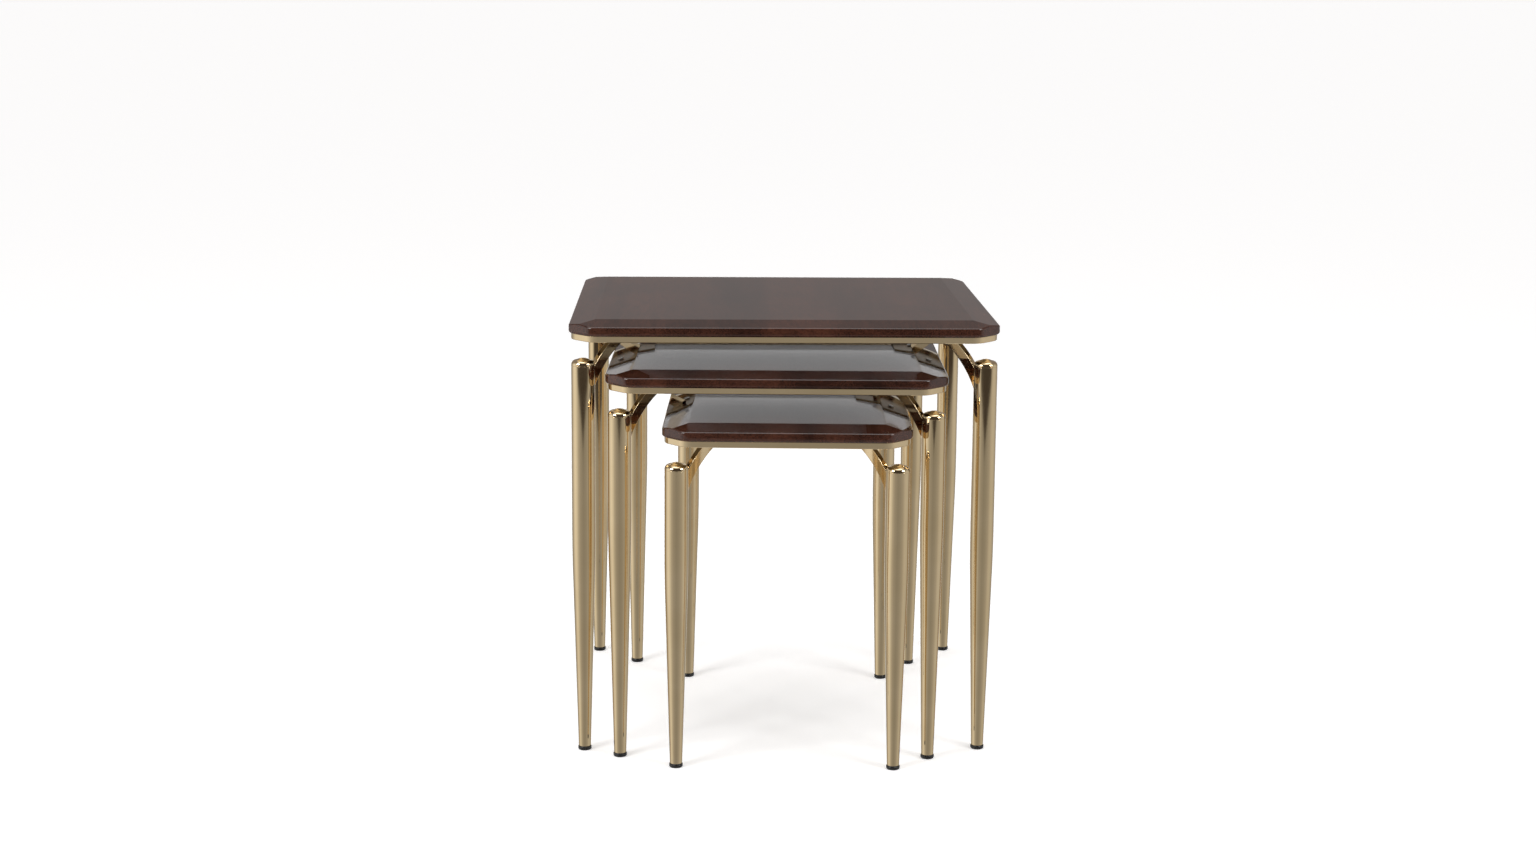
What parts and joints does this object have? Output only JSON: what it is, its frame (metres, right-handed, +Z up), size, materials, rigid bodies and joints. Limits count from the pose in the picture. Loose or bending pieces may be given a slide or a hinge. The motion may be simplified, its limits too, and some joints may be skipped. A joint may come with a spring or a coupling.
{
  "type": "nesting tables",
  "caption": "Free-standing nesting tables with bevelled glossy wooden tops, polished metal rims, tapered tube legs standing clear of the clipped corners, and curved corner brackets.",
  "frame": {"origin": "on the floor, at the middle of the box round the whole set as it stands staggered", "axes": "+Z up, +X to the right of a person in front of the set, +Y from the front, where the small tables are pulled out, to the back"},
  "size_m": [0.595, 0.5925, 0.61],
  "materials": {
    "lacquered_wood": "dark walnut veneer under high-gloss clear lacquer",
    "polished_gold": "polished champagne-gold plating over steel",
    "zinc_steel": "bright zinc-plated screws",
    "black_plastic": "black moulded plastic glides"
  },
  "bodies": {
    "large_table": {"large_top_panel": "lacquered_wood", "large_rim": "polished_gold", "large_corner_plates": "polished_gold", "large_top_screws": "zinc_steel", "large_leg_front_left": "polished_gold", "large_leg_front_right": "polished_gold", "large_leg_back_right": "polished_gold", "large_leg_back_left": "polished_gold", "large_leg_cap_front_left": "polished_gold", "large_leg_cap_front_right": "polished_gold", "large_leg_cap_back_right": "polished_gold", "large_leg_cap_back_left": "polished_gold", "large_bracket_front_left": "polished_gold", "large_bracket_front_right": "polished_gold", "large_bracket_back_right": "polished_gold", "large_bracket_back_left": "polished_gold", "large_foot_front_left": "black_plastic", "large_foot_front_right": "black_plastic", "large_foot_back_right": "black_plastic", "large_foot_back_left": "black_plastic"},
    "medium_table": {"medium_top_panel": "lacquered_wood", "medium_rim": "polished_gold", "medium_corner_plates": "polished_gold", "medium_top_screws": "zinc_steel", "medium_leg_front_left": "polished_gold", "medium_leg_front_right": "polished_gold", "medium_leg_back_right": "polished_gold", "medium_leg_back_left": "polished_gold", "medium_leg_cap_front_left": "polished_gold", "medium_leg_cap_front_right": "polished_gold", "medium_leg_cap_back_right": "polished_gold", "medium_leg_cap_back_left": "polished_gold", "medium_bracket_front_left": "polished_gold", "medium_bracket_front_right": "polished_gold", "medium_bracket_back_right": "polished_gold", "medium_bracket_back_left": "polished_gold", "medium_foot_front_left": "black_plastic", "medium_foot_front_right": "black_plastic", "medium_foot_back_right": "black_plastic", "medium_foot_back_left": "black_plastic"},
    "small_table": {"small_top_panel": "lacquered_wood", "small_rim": "polished_gold", "small_corner_plates": "polished_gold", "small_top_screws": "zinc_steel", "small_leg_front_left": "polished_gold", "small_leg_front_right": "polished_gold", "small_leg_back_right": "polished_gold", "small_leg_back_left": "polished_gold", "small_leg_cap_front_left": "polished_gold", "small_leg_cap_front_right": "polished_gold", "small_leg_cap_back_right": "polished_gold", "small_leg_cap_back_left": "polished_gold", "small_bracket_front_left": "polished_gold", "small_bracket_front_right": "polished_gold", "small_bracket_back_right": "polished_gold", "small_bracket_back_left": "polished_gold", "small_foot_front_left": "black_plastic", "small_foot_front_right": "black_plastic", "small_foot_back_right": "black_plastic", "small_foot_back_left": "black_plastic"}
  },
  "joints": [
    {"name": "medium_slide", "type": "slide", "parent": "large_table", "child": "medium_table", "axis": [0.0262, 0.9997, 0], "range_m": [-0.5, 0.05]},
    {"name": "small_slide", "type": "slide", "parent": "large_table", "child": "small_table", "axis": [0.0349, 0.9994, 0], "range_m": [-0.5, 0.11]}
  ]
}
